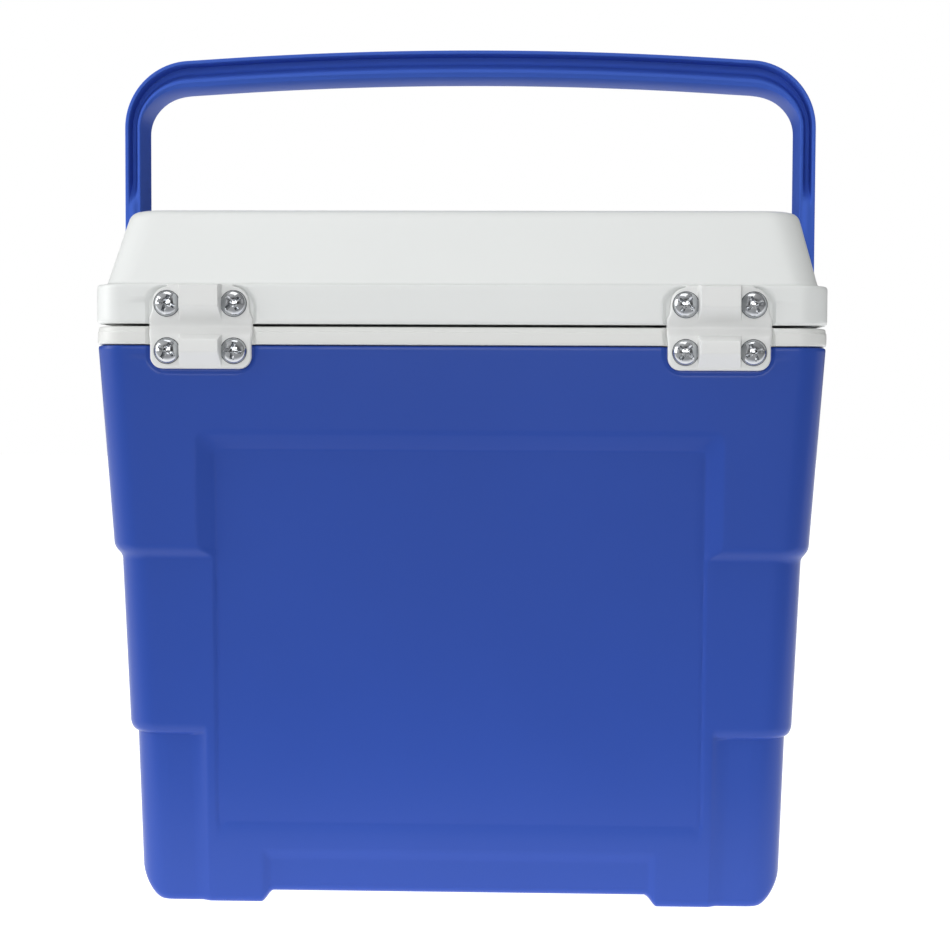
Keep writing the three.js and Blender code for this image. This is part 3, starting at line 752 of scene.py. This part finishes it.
# ---------------------------------------------------------------- camera, lights and floor
def camera():
    lens_px = 1797.6
    data = bpy.data.cameras.new("camera")
    data.sensor_width = 36.0
    data.lens = lens_px * data.sensor_width / 950
    view = bpy.data.objects.new("camera", data)
    bpy.context.scene.collection.objects.link(view)
    yaw, pitch, roll = math.radians(1.787), math.radians(2.594), math.radians(0.249)
    forward = Vector((math.sin(yaw) * math.cos(pitch), -math.cos(yaw) * math.cos(pitch), -math.sin(pitch)))
    right = forward.cross(Vector((0, 0, 1))).normalized()
    up = right.cross(forward)
    tilted_right = math.cos(roll) * right + math.sin(roll) * up
    tilted_up = -math.sin(roll) * right + math.cos(roll) * up
    place = Vector((-34.66, 986.66, 251.56)) * MM
    turned = Matrix((tilted_right, tilted_up, -forward)).transposed().to_4x4()
    view.matrix_world = Matrix.Translation(place) @ turned
    bpy.context.scene.camera = view


def area_light(name, place, target, size, power, colour=(1, 1, 1)):
    data = bpy.data.lights.new(name, "AREA")
    data.shape = "RECTANGLE"
    data.size, data.size_y = size
    data.energy = power
    data.color = colour
    lamp = bpy.data.objects.new(name, data)
    lamp.location = place
    lamp.rotation_mode = "QUATERNION"
    lamp.rotation_quaternion = (Vector(target) - Vector(place)).to_track_quat("-Z", "Y")
    bpy.context.scene.collection.objects.link(lamp)


def tent_world():
    """A white tent: bright above and on the left, darker round the opening that faces the hinges.

    Seen directly it is plain white; the shading above is what lights the chest.
    """
    world = bpy.data.worlds.new("tent")
    world.use_nodes = True
    bpy.context.scene.world = world
    tree = world.node_tree
    background = tree.nodes["Background"]
    background.inputs["Color"].default_value = (1, 1, 1, 1)
    direction = node(tree, "ShaderNodeTexCoord", -1100, 0)
    axes = node(tree, "ShaderNodeSeparateXYZ", -900, 0)
    opening = node(tree, "ShaderNodeMapRange", -650, 150, interpolation_type="SMOOTHSTEP")
    leftward = node(tree, "ShaderNodeMapRange", -650, -150)
    product = node(tree, "ShaderNodeMath", -400, 0, operation="MULTIPLY")
    seen = node(tree, "ShaderNodeLightPath", -650, 400)
    backdrop = node(tree, "ShaderNodeMapRange", -650, -400, interpolation_type="SMOOTHSTEP")
    dimmed = node(tree, "ShaderNodeMath", -250, -150, operation="MULTIPLY")
    pick = node(tree, "ShaderNodeMix", -50, 100)
    for key, value in zip(("From Min", "From Max", "To Min", "To Max"), (0.50, 0.93, 1.0, OPENING_LIGHT)):
        opening.inputs[key].default_value = value
    for key, value in zip(("From Min", "From Max", "To Min", "To Max"), (-1.0, 1.0, *TENT_LIGHT)):
        leftward.inputs[key].default_value = value
    for key, value in zip(("From Min", "From Max", "To Min", "To Max"), (-0.65, 0.05, BACKDROP_LIGHT, 1.0)):
        backdrop.inputs[key].default_value = value
    pick.inputs["B"].default_value = 1.0
    link = tree.links.new
    link(direction.outputs["Generated"], axes.inputs["Vector"])
    link(axes.outputs["Y"], opening.inputs["Value"])
    link(axes.outputs["X"], leftward.inputs["Value"])
    link(opening.outputs["Result"], product.inputs[0])
    link(leftward.outputs["Result"], product.inputs[1])
    link(seen.outputs["Is Camera Ray"], pick.inputs["Factor"])
    link(axes.outputs["Y"], backdrop.inputs["Value"])
    link(product.outputs["Value"], dimmed.inputs[0])
    link(backdrop.outputs["Result"], dimmed.inputs[1])
    link(dimmed.outputs["Value"], pick.inputs["A"])
    link(pick.outputs["Result"], background.inputs["Strength"])


OPENING_LIGHT = 0.05              # brightness of the tent's opening, against its walls
BACKDROP_LIGHT = 0.12             # brightness of the tent's far wall, which grazing edges mirror
TENT_LIGHT = (0.28, 0.86)         # brightness of the walls, right and left
NEAR_LENS_GLOW = 0.12             # share of that glow on the table between the chest and the lens
FLOOR_GLOW = (1.2, 1.02)         # light that the table gives off, near the chest and far from it


def glowing_table():
    """A grey table that glows though it is no lamp: its glow, strongest round the chest, lights the chest's lower
    parts from below and keeps the table white to the edge.
    """
    half = 6.0
    mesh = bpy.data.meshes.new("floor")
    mesh.from_pydata([(-half, -half, 0), (half, -half, 0), (half, half, 0), (-half, half, 0)], [], [(0, 1, 2, 3)])
    floor = bpy.data.objects.new("floor", mesh)
    floor.location.z = -0.0002
    bpy.context.scene.collection.objects.link(floor)
    paint = bpy.data.materials.new("glowing_table_paint")
    paint.use_nodes = True
    tree = paint.node_tree
    shader = tree.nodes["Principled BSDF"]
    # grey paint: the table's white look and the light it throws up onto the chest come from its own glow
    shader.inputs["Base Color"].default_value = (0.5, 0.5, 0.5, 1)
    shader.inputs["Roughness"].default_value = 0.8
    shader.inputs["Emission Color"].default_value = (1, 1, 1, 1)
    place = node(tree, "ShaderNodeTexCoord", -900, 0)
    unsigned = node(tree, "ShaderNodeVectorMath", -750, 0, operation="ABSOLUTE")
    beyond = node(tree, "ShaderNodeVectorMath", -600, 0, operation="SUBTRACT")
    beyond.inputs[1].default_value = (0.155, 0.110, 0)
    outside = node(tree, "ShaderNodeVectorMath", -450, 0, operation="MAXIMUM")
    outside.inputs[1].default_value = (0, 0, 0)
    away = node(tree, "ShaderNodeVectorMath", -300, 0, operation="LENGTH")
    glow = node(tree, "ShaderNodeMapRange", -150, 0, interpolation_type="SMOOTHSTEP")
    for key, value in zip(("From Min", "From Max", "To Min", "To Max"), (0.06, 0.22, *FLOOR_GLOW)):
        glow.inputs[key].default_value = value
    tree.links.new(place.outputs["Object"], unsigned.inputs[0])
    tree.links.new(unsigned.outputs["Vector"], beyond.inputs[0])
    tree.links.new(beyond.outputs["Vector"], outside.inputs[0])
    tree.links.new(outside.outputs["Vector"], away.inputs[0])
    tree.links.new(away.outputs["Value"], glow.inputs["Value"])
    axes = node(tree, "ShaderNodeSeparateXYZ", -600, -250)
    behind_lens = node(tree, "ShaderNodeMapRange", -350, -250, interpolation_type="SMOOTHSTEP")
    for key, value in zip(("From Min", "From Max", "To Min", "To Max"), (0.20, 0.34, 1.0, NEAR_LENS_GLOW)):
        behind_lens.inputs[key].default_value = value
    shine = node(tree, "ShaderNodeMath", 0, 0, operation="MULTIPLY")
    tree.links.new(place.outputs["Object"], axes.inputs["Vector"])
    tree.links.new(axes.outputs["Y"], behind_lens.inputs["Value"])
    tree.links.new(glow.outputs["Result"], shine.inputs[0])
    tree.links.new(behind_lens.outputs["Result"], shine.inputs[1])
    tree.links.new(shine.outputs["Value"], shader.inputs["Emission Strength"])
    floor.data.materials.append(paint)


def studio():
    tent_world()
    middle = (0, 0, 0.2)
    area_light("left_softbox", (1.7, 0.5, 0.8), middle, (0.8, 1.2), 12)
    area_light("lens_softbox", (0, 2.6, 0.9), middle, (1.6, 1.0), 22.0)
    area_light("right_softbox", (-1.7, 1.0, 0.8), middle, (0.6, 1.0), 0.5)
    area_light("top_softbox", (0.2, 0.3, 1.9), middle, (1.2, 0.8), 5)
    bpy.context.scene.view_settings.view_transform = "Standard"
    glowing_table()


# ---------------------------------------------------------------- assembly
camera()
studio()

place_piece(body_shell(), "blue_shell", "chest", "body_shell")
place_piece(inner_liner(), "white_rim", "chest", "inner_liner")
place_piece(lid_shell(), "white_lid", "lid", "lid_shell")
place_piece(lid_inner_panel(), "white_rim", "lid", "lid_inner_panel")

for side, sign in (("left", 1), ("right", -1)):
    strap = hinge_strap(side, sign * HINGE_X)
    finish_piece(strap, "white_hinge")
    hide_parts(f"hinge_body_leaf_{side}", f"hinge_lid_leaf_{side}")
    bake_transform(strap)
    place_piece(hub(side, sign), "blue_handle", "bail")
    place_piece(pivot_pin(side, sign), "blue_handle", "pivot_pins", f"handle_pin_{side}")

SCREW_SPINS = {
    "left_upper_outer": 20, "left_upper_inner": 52, "left_lower_outer": 30, "left_lower_inner": 8,
    "right_upper_inner": 35, "right_upper_outer": 62, "right_lower_inner": 38, "right_lower_outer": 66,
}
for where, spin in SCREW_SPINS.items():
    body = "lid" if "upper" in where else "chest"
    place_piece(hinge_screw(f"hinge_screw_{where}", spin), "zinc_screw", body, f"hinge_screw_{where}")

place_piece(bail_handle(), "blue_handle", "bail", "handle")

for name in ("insulation_foam", "lid_insulation"):
    finish_piece(frame["nodes"][name], "foam")
for side in ("left", "right"):
    finish_piece(frame["nodes"][f"handle_socket_{side}"], "white_rim")
